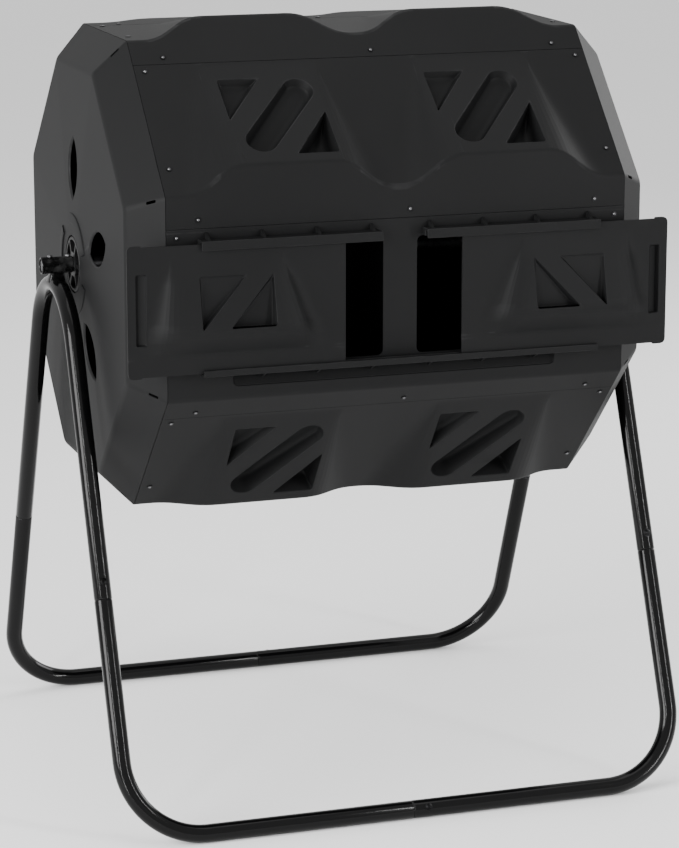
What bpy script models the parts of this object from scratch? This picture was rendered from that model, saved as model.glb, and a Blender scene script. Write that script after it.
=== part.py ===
"""Compost tumbler: an eight-sided two-chamber drum that turns on an axle in a bent-tube stand.

Units are metres, +Z is up, the doors face -Y and the drum's axle runs along X. The origin is on the floor,
midway between the four feet. The drum turns about its axle, and each door slides along X in its rails.
"""

import bpy
import bmesh
from math import atan, atan2, cos, pi, radians, sin, sqrt, tan
from mathutils import Matrix, Vector

# Stand
TUBE_R = 0.011
TUBE_WALL = 0.0014
TUBE_SIDES = 12
LEG_X = 0.3435
FOOT_Y = 0.313
AXLE_Z = 0.630
LEG_Y_AT_AXLE = 0.052
TOP_BEND_Z = 0.6065
FLOOR_BEND_R = 0.092
FOOT_Z = TUBE_R * cos(pi / TUBE_SIDES)
JOINT_Z = 0.270
SPIGOT = 0.036
SPIGOT_IN_R = 0.0078
SPIGOT_ROOT = 0.0020
FIT_GAP = 0.0003
LEAN = atan((FOOT_Y - LEG_Y_AT_AXLE) / (AXLE_Z - FOOT_Z))
LEG_PEAK_Z = AXLE_Z + LEG_Y_AT_AXLE / tan(LEAN)
TOP_BEND_R = (LEG_PEAK_Z - TOP_BEND_Z) / (1 / sin(LEAN) - 1)
BOLT_R = 0.0024
BOLT_CLEAR = 0.0004
BOLT_HEAD_R = 0.0048
BOLT_HEAD = 0.0024
BOLT_UP = 0.020
BOLT_TAIL = 0.0012

# Axle
AXLE_R = 0.0075
AXLE_HALF = 0.3605
SLEEVE_R = 0.0100
SLEEVE_BORE_R = 0.0082
SLEEVE_X = (0.3235, 0.3620)
SADDLE_HALF_X = 0.0085
SADDLE_HALF_Y = 0.0070
SADDLE_LOW = 0.0060
AXLE_SCREW_XS = (0.3505, 0.3285)
AXLE_SCREW_R = 0.0017
AXLE_SCREW_CLEAR = 0.0003
AXLE_SCREW_HEAD_R = 0.0034
AXLE_SCREW_DEPTH = 0.0035
AXLE_SCREW_HEAD = 0.0018
AXLE_SCREW_LIFT = 0.0008

# Drum: an octagon with upright front and back faces and 45 degree slopes
FRONT_Y = 0.2630
FRONT_HALF = 0.1170
TOP_Z = 0.2765
TOP_HALF = FRONT_Y - TOP_Z + FRONT_HALF
PANEL_X = 0.2785
WALL = 0.0025
LAYER = WALL + 0.0004
FLANGE = 0.0365
FLANGE_GAP = 0.0004
LAP_START = 0.0140
WEDGE_START = 0.0425
PLATEAU_RISE = 0.0235
PLATEAU_IN_X = 0.0650
PLATEAU_OUT_X = 0.2000
PLATEAU_RUN = 0.0440
SMALLEST_RUN = 0.0010
SCREW_XS = (-0.2410, 0.0120, 0.2410)
SCREW_U = 0.0265
SCREW_R = 0.0018
SCREW_HOLE_R = 0.0023
SCREW_HEAD_R = 0.0042
SCREW_HEAD = 0.0022
SCREW_LONG = 0.0080

# End caps, hubs and partition
CAP_X = 0.2789
CAP_LIP = 0.0160
LIP_IN = 2 * LAYER + 0.0002
FACE_X = 0.3170
BEVEL_IN = 0.0385
HUB_X = 0.3225
HUB_SKIRT_R = 0.0460
HUB_HOLE_R = 0.0348
VENT_R = 0.1160
VENT_LONG = 0.0740
VENT_WIDE = 0.0400
VENT_COUNT = 3
VENT_STEP = radians(72)
VENT_SIDES = 12
VENT_CUT = 0.0400
BUSH_R = 0.0330
BUSH_FLANGE_R = 0.0400
BUSH_FLANGE = 0.0025
BUSH_BORE_R = 0.0088
BUSH_BOSS_R = 0.0150
BUSH_RIM_R = 0.0295
BUSH_SPOKES = 6
BUSH_SPOKE = 0.0040
BUSH_DEEP = 0.0180
BUSH_POCKET = 0.0140
PARTITION_IN = 0.0062
PARTITION = 0.0030
PARTITION_BORE_R = 0.0110

# Door openings, rails and doors; heights are from the axle
STRIP_HALF = 0.0205
OPENING_OUT_X = 0.2250
OPENING_Z = (-0.0790, 0.0590)
RAIL_ROOT_Y = FRONT_Y - 0.0010
RAIL_OUT_Y = 0.2815
RAIL_LIP = 0.0025
GUIDE_Y = 0.2725
TOP_RAIL_Z = (0.0660, 0.0690)
TOP_LIP_Z = 0.0580
TOP_GUIDE_Z = 0.0595
TOP_RAIL_X = (0.0270, 0.2420)
LOW_RAIL_Z = (-0.0840, -0.0870)
LOW_LIP_Z = -0.0795
LOW_RAIL_X = 0.2410
GUSSET = 0.0030
GUSSET_TALL = 0.0120
GUSSET_OUT_Y = RAIL_OUT_Y - 0.0030
GUSSET_STEP = 0.0655
GUSSET_FIRST_X = 0.0355
GUSSET_ROOT = 0.0010
GUSSETS_OVER = 4
GUSSETS_UNDER = 3
DOOR_WALL = 0.0025
DOOR_Y = 0.2775
DOOR_LONG = 0.2575
DOOR_Z = (-0.0832, 0.0652)
DOOR_CLOSED_X = 0.0210
DOOR_REST_OPEN = 0.0500
DOOR_TAB = 0.0165
DOOR_TAB_OVER = 0.0016
BULGE_RISE = 0.0200
BULGE_TOP_Z = 0.0470
BULGE_PEAK_Z = -0.0340
BULGE_LOW_Z = -0.0610
BULGE_NEAR = (0.0770, 0.0540)
BULGE_FAR = (0.2050, 0.2100)
BULGE_RUN = 0.0250
BULGE_PEAK_WIDEN = 0.85

for item in list(bpy.data.objects):
    bpy.data.objects.remove(item, do_unlink=True)

FINISHES = {
    "plastic": ((0.030, 0.031, 0.032), 0.55, 0.0),
    "hub": ((0.015, 0.015, 0.016), 0.60, 0.0),
    "tube": ((0.006, 0.006, 0.006), 0.22, 0.0),
    "steel": ((0.550, 0.550, 0.560), 0.30, 1.0),
    "dark_steel": ((0.020, 0.020, 0.020), 0.35, 0.6),
}


# ---------------------------------------------------------------- helpers

def make_material(name, color, roughness, metallic):
    material = bpy.data.materials.new(name)
    material.use_nodes = True
    shader = material.node_tree.nodes["Principled BSDF"]
    shader.inputs["Base Color"].default_value = (*color, 1.0)
    shader.inputs["Roughness"].default_value = roughness
    shader.inputs["Metallic"].default_value = metallic
    return material


def make_body(name, location, parent=None):
    """An empty on a body's joint axis, which carries that body's pieces."""
    empty = bpy.data.objects.new(name, None)
    bpy.context.scene.collection.objects.link(empty)
    empty.location = Vector(location) - (parent.location if parent else Vector())
    empty.parent = parent
    return empty


def add_piece(name, shape, finish, body=None, smooth=False):
    """One closed solid, given as (points, faces) in world coordinates and carried by its body's empty."""
    mesh = bpy.data.meshes.new(name)
    mesh.from_pydata([tuple(point) for point in shape[0]], [], shape[1])
    work = bmesh.new()
    work.from_mesh(mesh)
    bmesh.ops.recalc_face_normals(work, faces=work.faces)
    if work.calc_volume(signed=True) < 0:
        bmesh.ops.reverse_faces(work, faces=work.faces)
    work.to_mesh(mesh)
    work.free()
    if smooth:
        mesh.shade_smooth()
        mesh.set_sharp_from_angle(angle=radians(35))
    mesh.materials.append(make_material(name, *FINISHES[finish]))
    piece = bpy.data.objects.new(name, mesh)
    bpy.context.scene.collection.objects.link(piece)
    if body:
        origin = body.location + (body.parent.location if body.parent else Vector())
        piece.parent = body
        piece.matrix_parent_inverse = Matrix.Translation(-origin)
    return piece


def boolean(piece, name, shape, operation="DIFFERENCE"):
    """Cuts a shape from a piece, or joins it to the piece."""
    cutter = add_piece(name, shape, "plastic")
    cutter.hide_render = True
    cutter.display_type = "WIRE"
    for target in piece if isinstance(piece, tuple) else (piece,):
        modifier = target.modifiers.new(name, "BOOLEAN")
        modifier.object = cutter
        modifier.operation = operation
        modifier.solver = "EXACT"


def islands(shapes):
    """Several (points, faces) shapes that don't touch, as one."""
    points, faces = [], []
    for shape_points, shape_faces in shapes:
        start = len(points)
        points += shape_points
        faces += [tuple(start + k for k in face) for face in shape_faces]
    return points, faces


def prism(outline, direction):
    """A flat outline pushed along a direction."""
    count = len(outline)
    points = [Vector(p) for p in outline] + [Vector(p) + Vector(direction) for p in outline]
    sides = [(k, (k + 1) % count, count + (k + 1) % count, count + k) for k in range(count)]
    return points, [tuple(range(count)), tuple(range(count, 2 * count))] + sides


def loft(rings, closed=False):
    """Joins rings of equally many points; the ends are capped, or joined to each other when closed."""
    count = len(rings[0])
    points = [point for ring in rings for point in ring]
    pairs = list(zip(range(len(rings)), range(1, len(rings))))
    faces = [tuple(range(count)), tuple(range(len(points) - count, len(points)))]
    if closed:
        pairs.append((len(rings) - 1, 0))
        faces = []
    for a, b in pairs:
        for k in range(count):
            after = (k + 1) % count
            faces.append((a * count + k, a * count + after, b * count + after, b * count + k))
    return points, faces


def circle(centre, axis, radius, sides, phase=0.0):
    axis = Vector(axis).normalized()
    across = axis.cross(Vector((1, 0, 0)) if abs(axis.x) < 0.9 else Vector((0, 1, 0))).normalized()
    up = axis.cross(across)
    angles = [2 * pi * k / sides + phase for k in range(sides)]
    return [Vector(centre) + (across * cos(a) + up * sin(a)) * radius for a in angles]


def turned(start, axis, profile, sides, closed=False):
    """A solid turned about an axis from (distance along it, radius) pairs."""
    axis = Vector(axis).normalized()
    rings = [circle(Vector(start) + axis * along, axis, radius, sides) for along, radius in profile]
    return loft(rings, closed)


def bore(centre, axis, reach, radius, sides):
    """A round cutter that reaches equally far each way from its centre."""
    axis = Vector(axis).normalized()
    return turned(Vector(centre) - axis * reach, axis, [(0, radius), (2 * reach, radius)], sides)


def domed_screw(seat, axis, shank, shank_r, head_r, head, sides=10):
    """A screw pushed against its axis: a shank below the seat and a domed head above it."""
    under_head = [(-shank, shank_r), (0, shank_r), (0, head_r)]
    dome = [(head * 0.5, head_r * 0.9), (head, head_r * 0.45)]
    return turned(seat, axis, under_head + dome, sides)


def bent_path(corners, radius, steps):
    """The polyline through three corners, with the middle one rounded to a radius."""
    before, corner, after = (Vector(point) for point in corners)
    come, leave = (corner - before).normalized(), (after - corner).normalized()
    turn = come.angle(leave)
    centre = corner + (leave - come).normalized() * (radius / cos(turn / 2))
    arm = corner - come * radius * tan(turn / 2) - centre
    axis = come.cross(leave).normalized()
    bend = [centre + Matrix.Rotation(turn * k / steps, 3, axis) @ arm for k in range(steps + 1)]
    return [before] + bend + [after]


def tube_end(place, index, outward, kind):
    """A tube end's (centre, path index, radius) stations from its tip inwards, outside it and inside it."""
    bore_r = TUBE_R - TUBE_WALL
    if kind == "open":
        return [(place, index, TUBE_R)], [(place, index, bore_r)]
    tip, root, spigot_r = place + outward * SPIGOT, place - outward * SPIGOT_ROOT, bore_r - 2 * FIT_GAP
    outside = [(tip, index, spigot_r), (place, index, spigot_r), (place, index, TUBE_R)]
    return outside, [(tip, index, SPIGOT_IN_R), (root, index, SPIGOT_IN_R), (root, index, bore_r)]


def tube(path, normal, ends, phase=0.0):
    """A hollow bent tube square to a normal. Each end is "open", or a "spigot" that fits in an open one."""
    last = len(path) - 1
    tangents = [(path[min(k + 1, last)] - path[max(k - 1, 0)]).normalized() for k in range(last + 1)]
    start_out, start_in = tube_end(path[0], 0, -tangents[0], ends[0])
    final_out, final_in = tube_end(path[last], last, tangents[last], ends[1])
    outside = start_out + [(path[k], k, TUBE_R) for k in range(1, last)] + final_out[::-1]
    inside = start_in + [(path[k], k, TUBE_R - TUBE_WALL) for k in range(1, last)] + final_in[::-1]
    rings = []
    for centre, index, radius in outside + inside[::-1]:
        across = normal.cross(tangents[index]).normalized()
        angles = [2 * pi * k / TUBE_SIDES + phase for k in range(TUBE_SIDES)]
        rings.append([centre + (across * cos(a) + normal * sin(a)) * radius for a in angles])
    return loft(rings, closed=True)


def shell(outer, inner, missing=()):
    """A sheet with thickness between two grids of points, leaving out the missing (row, column) cells."""
    rows, columns = len(outer), len(outer[0])
    points = [point for row in outer + inner for point in row]
    back = rows * columns
    cells = {(i, j) for i in range(rows - 1) for j in range(columns - 1)} - set(missing)
    faces = []
    for i, j in sorted(cells):
        a = i * columns + j
        b, c, d = a + 1, a + 1 + columns, a + columns
        faces += [(a, b, c, d), (back + d, back + c, back + b, back + a)]
        edges = {(i - 1, j): (a, b), (i, j + 1): (b, c), (i + 1, j): (c, d), (i, j - 1): (d, a)}
        faces += [(q, p, back + p, back + q) for beside, (p, q) in edges.items() if beside not in cells]
    used = sorted({k for face in faces for k in face})
    place = {k: n for n, k in enumerate(used)}
    return [points[k] for k in used], [tuple(place[k] for k in face) for face in faces]


# ---------------------------------------------------------------- stand

SIDES = {"left": -1, "right": 1}
ENDS = {"front": -1, "rear": 1}


def leg_point(side, end, z):
    """The point at height z on a straight leg's centre line."""
    return Vector((side * LEG_X, end * (FOOT_Y - (z - FOOT_Z) * tan(LEAN)), z))


def outward(end):
    """The direction square to a leg, facing out of the stand and a little up."""
    return Vector((0, end * cos(LEAN), sin(LEAN)))


def add_tube_bolt(name, centre, end, tubes):
    """A round-headed bolt through a tube joint."""
    axis = outward(end)
    boolean(tubes, name + "_hole", bore(centre, axis, 2 * TUBE_R, BOLT_R + BOLT_CLEAR, 10))
    seat = TUBE_R + FIT_GAP
    shank = 2 * seat + BOLT_TAIL
    shape = domed_screw(centre + axis * seat, axis, shank, BOLT_R, BOLT_HEAD_R, BOLT_HEAD)
    add_piece(name, shape, "dark_steel", FRAME, smooth=True)


def add_leg_frame(side_name, side):
    corners = [leg_point(side, -1, JOINT_Z), (side * LEG_X, 0, LEG_PEAK_Z), leg_point(side, 1, JOINT_Z)]
    shape = tube(bent_path(corners, TOP_BEND_R, 10), Vector((1, 0, 0)), ("open", "open"))
    return add_piece("leg_frame_" + side_name, shape, "tube", FRAME, smooth=True)


def add_lower_tube(side_name, side, end_name, end):
    """One leg's lower half, bent along the floor to meet its neighbour under the drum."""
    down = Vector((0, end * sin(LEAN), -cos(LEAN)))
    start = leg_point(side, end, JOINT_Z) + down * FIT_GAP
    foot = Vector((side * LEG_X, end * FOOT_Y, FOOT_Z))
    middle = Vector((side * FIT_GAP, end * FOOT_Y, FOOT_Z))
    normal = down.cross(middle - foot).normalized()
    across = normal.cross((middle - foot).normalized())
    facet_down = atan2(-normal.z, -across.z) - pi / TUBE_SIDES
    meeting = "spigot" if side < 0 else "open"
    shape = tube(bent_path([start, foot, middle], FLOOR_BEND_R, 8), normal, ("spigot", meeting), facet_down)
    return add_piece(f"lower_tube_{end_name}_{side_name}", shape, "tube", FRAME, smooth=True)


def add_stand():
    legs = {name: add_leg_frame(name, side) for name, side in SIDES.items()}
    for end_name, end in ENDS.items():
        lower = {name: add_lower_tube(name, side, end_name, end) for name, side in SIDES.items()}
        for name, side in SIDES.items():
            centre = leg_point(side, end, JOINT_Z + BOLT_UP * cos(LEAN))
            add_tube_bolt(f"leg_bolt_{end_name}_{name}", centre, end, (legs[name], lower[name]))
        centre = Vector((SPIGOT / 2, end * FOOT_Y, FOOT_Z))
        add_tube_bolt(f"floor_bolt_{end_name}", centre, end, (lower["left"], lower["right"]))


def add_sleeve(name, side):
    """A sleeve on a saddle that is welded over a leg frame's top bend."""
    along = Vector((side, 0, 0))
    centre = Vector((side * sum(SLEEVE_X) / 2, 0, AXLE_Z))
    half = (SLEEVE_X[1] - SLEEVE_X[0]) / 2
    sleeve = add_piece("axle_sleeve_" + name, bore(centre, along, half, SLEEVE_R, 20), "tube", FRAME, True)
    low, high = TOP_BEND_Z + SADDLE_LOW, AXLE_Z - SLEEVE_BORE_R / 2
    foot = [(side * LEG_X + x * SADDLE_HALF_X, y * SADDLE_HALF_Y, low)
            for x, y in ((-1, -1), (1, -1), (1, 1), (-1, 1))]
    boolean(sleeve, "saddle_" + name, prism(foot, (0, 0, high - low)), "UNION")
    top_bend = (side * LEG_X, 0, TOP_BEND_Z)
    boolean(sleeve, "bend_seat_" + name, bore(top_bend, (0, 1, 0), 2 * TUBE_R, TUBE_R + FIT_GAP, 24))
    boolean(sleeve, "sleeve_bore_" + name, bore(centre, along, 2 * half, SLEEVE_BORE_R, 20))
    return sleeve


def add_axle_screw(name, x, sleeve, axle):
    """A small screw down through a sleeve into a blind hole in the axle."""
    up = Vector((0, 0, 1))
    seat = Vector((x, 0, AXLE_Z + SLEEVE_R + AXLE_SCREW_LIFT))
    depth = seat.z - AXLE_Z - AXLE_R + AXLE_SCREW_DEPTH
    hole = bore(seat, up, depth + FIT_GAP, AXLE_SCREW_R + AXLE_SCREW_CLEAR, 8)
    boolean((sleeve, axle), name + "_hole", hole)
    shape = domed_screw(seat, up, depth, AXLE_SCREW_R, AXLE_SCREW_HEAD_R, AXLE_SCREW_HEAD)
    add_piece(name, shape, "steel", FRAME, True)


def add_axle():
    axle = add_piece("axle", bore((0, 0, AXLE_Z), (1, 0, 0), AXLE_HALF, AXLE_R, 16), "steel", FRAME, True)
    for name, side in SIDES.items():
        sleeve = add_sleeve(name, side)
        for place, x in zip(("outer", "inner"), AXLE_SCREW_XS):
            add_axle_screw(f"axle_screw_{place}_{name}", side * x, sleeve, axle)


# ---------------------------------------------------------------- drum

CORNERS = [(TOP_HALF, TOP_Z), (-TOP_HALF, TOP_Z), (-FRONT_Y, FRONT_HALF), (-FRONT_Y, -FRONT_HALF),
           (-TOP_HALF, -TOP_Z), (TOP_HALF, -TOP_Z), (FRONT_Y, -FRONT_HALF), (FRONT_Y, FRONT_HALF)]
CORNERS = [Vector(corner) for corner in CORNERS]
PANELS = ["top_panel", "upper_front_panel", "door_panel", "lower_front_panel",
          "bottom_panel", "lower_rear_panel", "rear_panel", "upper_rear_panel"]


def face_axes(face):
    """A drum face's first corner, direction of travel, outward normal and width, in the (Y, Z) plane."""
    first, second = CORNERS[face % 8], CORNERS[(face + 1) % 8]
    along = (second - first).normalized()
    return first, along, Vector((along.y, -along.x)), (second - first).length


def on_face(face, x, u, level):
    """A point on a drum face, u past its first corner and a level above its plane."""
    first, along, normal, _ = face_axes(face)
    spot = first + along * u + normal * level
    return Vector((x, spot.x, AXLE_Z + spot.y))


def octagon(x, inset, halves=False):
    """The drum's outline at a place along X, moved in by an inset: 8 points, or 16 with the middles."""
    ring = []
    for face in range(8):
        _, before, normal_before, _ = face_axes(face - 1)
        corner, along, normal, width = face_axes(face)
        inward = -(normal_before + normal).normalized() * inset / cos(normal_before.angle(normal) / 2)
        ring.append(Vector((x, corner.x + inward.x, AXLE_Z + corner.y + inward.y)))
        if halves:
            middle = corner + along * width / 2 - normal * inset
            ring.append(Vector((x, middle.x, AXLE_Z + middle.y)))
    return ring


def hub_ring(x, radius):
    """Sixteen points on a circle about the axle, in line with the octagon's corners and middles."""
    ring = []
    for point in octagon(x, 0.0, halves=True):
        arm = Vector((0, point.y, point.z - AXLE_Z)).normalized() * radius
        ring.append(Vector((x, arm.y, AXLE_Z + arm.z)))
    return ring


def plateau_columns(t):
    """(X, rise share) across a panel, where t runs from 0 at the start of its wedges to 1 at its crease."""
    run = max(PLATEAU_RUN * t, SMALLEST_RUN)
    plateau = [(PLATEAU_IN_X - run, 0), (PLATEAU_IN_X, t), (PLATEAU_OUT_X, t), (PLATEAU_OUT_X + run, 0)]
    half = plateau + [(PANEL_X, 0)]
    return [(-x, rise) for x, rise in reversed(half)] + half


def panel_grids(face, columns, middle_rows):
    """A panel's outer and inner grids: a joggled lap strip, its face, a crease and a flange on the next face.

    columns(t) gives (X, rise share) pairs; middle_rows are extra heights u on the face, kept at its plane.
    """
    width = face_axes(face)[3]
    slant = sqrt(2)
    outer, inner = [], []
    joggle = ((LAP_START, -LAYER, LAP_START, -LAYER - WALL),
              (FLANGE, -LAYER, FLANGE + WALL, -LAYER - WALL),
              (FLANGE, 0, FLANGE + WALL, -WALL))
    for u, level, in_u, in_level in joggle:
        outer.append([on_face(face, x, u, level) for x, _ in columns(0)])
        inner.append([on_face(face, x, in_u, in_level) for x, _ in columns(0)])
    for u in [WEDGE_START] + middle_rows:
        outer.append([on_face(face, x, u, 0) for x, _ in columns(0)])
        inner.append([on_face(face, x, u, -WALL) for x, _ in columns(0)])
    turn = tan(radians(22.5))
    crease, crease_in = [], []
    for x, rise in columns(1):
        lift = PLATEAU_RISE * rise
        crease.append(on_face(face + 1, x, -lift * slant, 0))
        crease_in.append(on_face(face + 1, x, -lift * slant + WALL * turn, -WALL))
    outer.append(crease)
    inner.append(crease_in)
    outer.append([on_face(face + 1, x, FLANGE - FLANGE_GAP, 0) for x, _ in columns(1)])
    inner.append([on_face(face + 1, x, FLANGE - FLANGE_GAP, -WALL) for x, _ in columns(1)])
    return outer, inner


def screw_spots(face):
    """Where a seam's screws go through the flange and the lap strip, with their outward direction."""
    normal = face_axes(face)[2]
    outward_normal = Vector((0, normal.x, normal.y))
    return [(on_face(face, x, SCREW_U, 0), outward_normal) for x in SCREW_XS]


def opening_columns(t):
    """The door panel's (X, rise share) columns, which are the same at every height."""
    xs = [STRIP_HALF, OPENING_OUT_X, PANEL_X]
    return [(-x, 0) for x in reversed(xs)] + [(x, 0) for x in xs]


def add_panel(face, name):
    if name == "door_panel":
        heights = [FRONT_HALF - OPENING_Z[1], FRONT_HALF - OPENING_Z[0]]
        outer, inner = panel_grids(face, opening_columns, heights)
        panel = add_piece(name, shell(outer, inner, missing=[(4, 1), (4, 3)]), "plastic", DRUM)
        add_rails(panel)
    else:
        panel = add_piece(name, shell(*panel_grids(face, plateau_columns, [])), "plastic", DRUM)
    spots = screw_spots(face) + screw_spots(face + 1)
    holes = [bore(spot, normal, SCREW_LONG, SCREW_HOLE_R, 8) for spot, normal in spots]
    boolean(panel, name + "_holes", islands(holes))
    for count, (spot, normal) in enumerate(screw_spots(face + 1)):
        seat = spot + normal * FIT_GAP
        shape = domed_screw(seat, normal, SCREW_LONG, SCREW_R, SCREW_HEAD_R, SCREW_HEAD, 8)
        add_piece(f"{name}_screw_{count + 1}", shape, "steel", DRUM, smooth=True)


def rail(x_low, x_high, shelf, lip, guide):
    """A channel along X on the front face, open towards the door: shelf is its (inner, outer) height."""
    lip_y = RAIL_OUT_Y - RAIL_LIP
    outline = [(RAIL_ROOT_Y, guide), (GUIDE_Y, guide), (GUIDE_Y, shelf[0]), (lip_y, shelf[0]),
               (lip_y, lip), (RAIL_OUT_Y, lip), (RAIL_OUT_Y, shelf[1]), (RAIL_ROOT_Y, shelf[1])]
    return prism([(x_low, -y, AXLE_Z + z) for y, z in outline], (x_high - x_low, 0, 0))


def gusset(x, z, tall):
    """A thin triangular rib that stiffens a rail against the front face."""
    outline = [(RAIL_ROOT_Y, z), (GUSSET_OUT_Y, z), (RAIL_ROOT_Y, z + tall)]
    return prism([(x - GUSSET / 2, -y, AXLE_Z + height) for y, height in outline], (GUSSET, 0, 0))


def add_rails(panel):
    """A rail over each door, one rail under both, and the gussets that carry them."""
    low_x, high_x = TOP_RAIL_X
    rails = [rail(-LOW_RAIL_X, LOW_RAIL_X, LOW_RAIL_Z, LOW_LIP_Z, LOW_LIP_Z)]
    for start, end in ((-high_x, -low_x), (low_x, high_x)):
        rails.append(rail(start, end, TOP_RAIL_Z, TOP_LIP_Z, TOP_GUIDE_Z))
    boolean(panel, "rails", islands(rails), "UNION")
    ribs = []
    for side in (-1, 1):
        xs = [side * (GUSSET_FIRST_X + count * GUSSET_STEP) for count in range(GUSSETS_OVER)]
        ribs += [gusset(x, TOP_RAIL_Z[1] - GUSSET_ROOT, GUSSET_TALL) for x in xs]
        ribs += [gusset(x, LOW_RAIL_Z[1] + GUSSET_ROOT, -GUSSET_TALL) for x in xs[:GUSSETS_UNDER]]
    boolean(panel, "gussets", islands(ribs), "UNION")


def add_cap(side_name, side):
    """An end cap: a lip under the panels, a bevel, a face that swells to the hub, and three vents."""
    lip_x, rim_x, face_x, hub_x = (side * x for x in (CAP_X - CAP_LIP, CAP_X, FACE_X, HUB_X))
    face_in_x, hub_in_x = side * (FACE_X - WALL), side * (HUB_X - WALL)
    rim_in_x = side * (CAP_X + LIP_IN + WALL - WALL * sqrt(2))
    outside = [octagon(lip_x, LIP_IN, True), octagon(rim_x, LIP_IN, True), octagon(rim_x, 0.0, True),
               octagon(face_x, BEVEL_IN, True), hub_ring(hub_x, HUB_SKIRT_R), hub_ring(hub_x, HUB_HOLE_R)]
    inside = [hub_ring(hub_in_x, HUB_HOLE_R), hub_ring(hub_in_x, HUB_SKIRT_R),
              octagon(face_in_x, BEVEL_IN + WALL * tan(radians(22.5)), True),
              octagon(rim_in_x, LIP_IN + WALL, True), octagon(lip_x, LIP_IN + WALL, True)]
    cap = add_piece("end_cap_" + side_name, loft(outside + inside, closed=True), "plastic", DRUM)
    vents = []
    for count in range(VENT_COUNT):
        angle = pi / 2 - count * VENT_STEP
        out = Vector((0, -cos(angle), sin(angle)))
        across = Vector((0, sin(angle), cos(angle)))
        centre = Vector((side * (FACE_X - VENT_CUT / 2), 0, AXLE_Z)) + out * VENT_R
        turns = [2 * pi * k / VENT_SIDES for k in range(VENT_SIDES)]
        oval = [centre + out * cos(t) * VENT_LONG / 2 + across * sin(t) * VENT_WIDE / 2 for t in turns]
        vents.append(prism(oval, (side * VENT_CUT, 0, 0)))
    boolean(cap, "vents_" + side_name, islands(vents))


def add_hub(side_name, side):
    """The spoked bushing that turns on the axle, held behind the cap by its flange."""
    along = Vector((side, 0, 0))
    flange = HUB_X - WALL - FIT_GAP
    back = HUB_X - BUSH_DEEP
    profile = [(back, BUSH_R), (flange - BUSH_FLANGE, BUSH_R), (flange - BUSH_FLANGE, BUSH_FLANGE_R),
               (flange, BUSH_FLANGE_R), (flange, BUSH_R), (HUB_X, BUSH_R)]
    centre = Vector((0, 0, AXLE_Z))
    hub = add_piece("hub_" + side_name, turned(centre, along, profile, 24), "hub", DRUM, smooth=True)
    cuts = [bore(centre + along * HUB_X, along, 2 * BUSH_DEEP, BUSH_BORE_R, 16)]
    pocket_x = side * (HUB_X - BUSH_POCKET)
    for count in range(BUSH_SPOKES):
        middle = 2 * pi * (count + 0.5) / BUSH_SPOKES
        outline = []
        for radius, steps in ((BUSH_BOSS_R, (-1, 1)), (BUSH_RIM_R, (1, 0.33, -0.33, -1))):
            half = pi / BUSH_SPOKES - BUSH_SPOKE / 2 / radius
            outline += [(radius, middle + step * half) for step in steps]
        corners = [(pocket_x, radius * cos(angle), AXLE_Z + radius * sin(angle)) for radius, angle in outline]
        cuts.append(prism(corners, along * 2 * BUSH_POCKET))
    boolean(hub, "hub_cuts_" + side_name, islands(cuts))


def add_partition():
    rings = [octagon(side * PARTITION / 2, PARTITION_IN, True) for side in (-1, 1)]
    bores = [hub_ring(side * PARTITION / 2, PARTITION_BORE_R) for side in (1, -1)]
    add_piece("partition", loft(rings + bores, closed=True), "plastic", DRUM)


# ---------------------------------------------------------------- doors

def add_door(side_name, side, body):
    """A door plate whose swelling stands out most near its foot, with a taller tab at its outer end."""
    start = DOOR_CLOSED_X + DOOR_REST_OPEN
    tab = DOOR_LONG - DOOR_TAB
    rows = [(DOOR_Z[0], 0, 0), (BULGE_LOW_Z, 1, 0), (BULGE_PEAK_Z, BULGE_PEAK_WIDEN, 1),
            (BULGE_TOP_Z, 0, 0), (DOOR_Z[1], 0, 0)]
    outer, inner = [], []
    for index, (z, t, rise) in enumerate(rows):
        near = BULGE_NEAR[0] + (BULGE_NEAR[1] - BULGE_NEAR[0]) * t
        far = BULGE_FAR[0] + (BULGE_FAR[1] - BULGE_FAR[0]) * t
        run = max(BULGE_RUN * t, SMALLEST_RUN)
        over = {0: -DOOR_TAB_OVER, len(rows) - 1: DOOR_TAB_OVER}.get(index, 0)
        columns = [(0, 0, 0), (near - run, 0, 0), (near, rise, 0), (far, rise, 0), (far + run, 0, 0),
                   (tab, 0, 0), (tab + SMALLEST_RUN, 0, over), (DOOR_LONG, 0, over)]
        outer.append([Vector((side * (start + s), -DOOR_Y - BULGE_RISE * share, AXLE_Z + z + taller))
                      for s, share, taller in columns])
        inner.append([point + Vector((0, DOOR_WALL, 0)) for point in outer[-1]])
    add_piece("door_" + side_name, shell(outer, inner), "plastic", body)


# ---------------------------------------------------------------- assembly

FRAME = make_body("frame", (0, 0, 0))
DRUM = make_body("drum", (0, 0, AXLE_Z))

add_stand()
add_axle()
for number, panel_name in enumerate(PANELS):
    add_panel(number, panel_name)
for where, sign in SIDES.items():
    add_cap(where, sign)
    add_hub(where, sign)
    add_door(where, sign, make_body("door_slide_" + where, (sign * DOOR_CLOSED_X, -DOOR_Y, AXLE_Z), DRUM))
add_partition()
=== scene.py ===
"""Compost tumbler: the ribbed eight-sided drum, its sliding doors and its bent-tube stand."""
from math import atan, atan2, cos, pi, radians, sin, sqrt, tan

import bmesh
import bpy
from mathutils import Matrix, Vector


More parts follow.
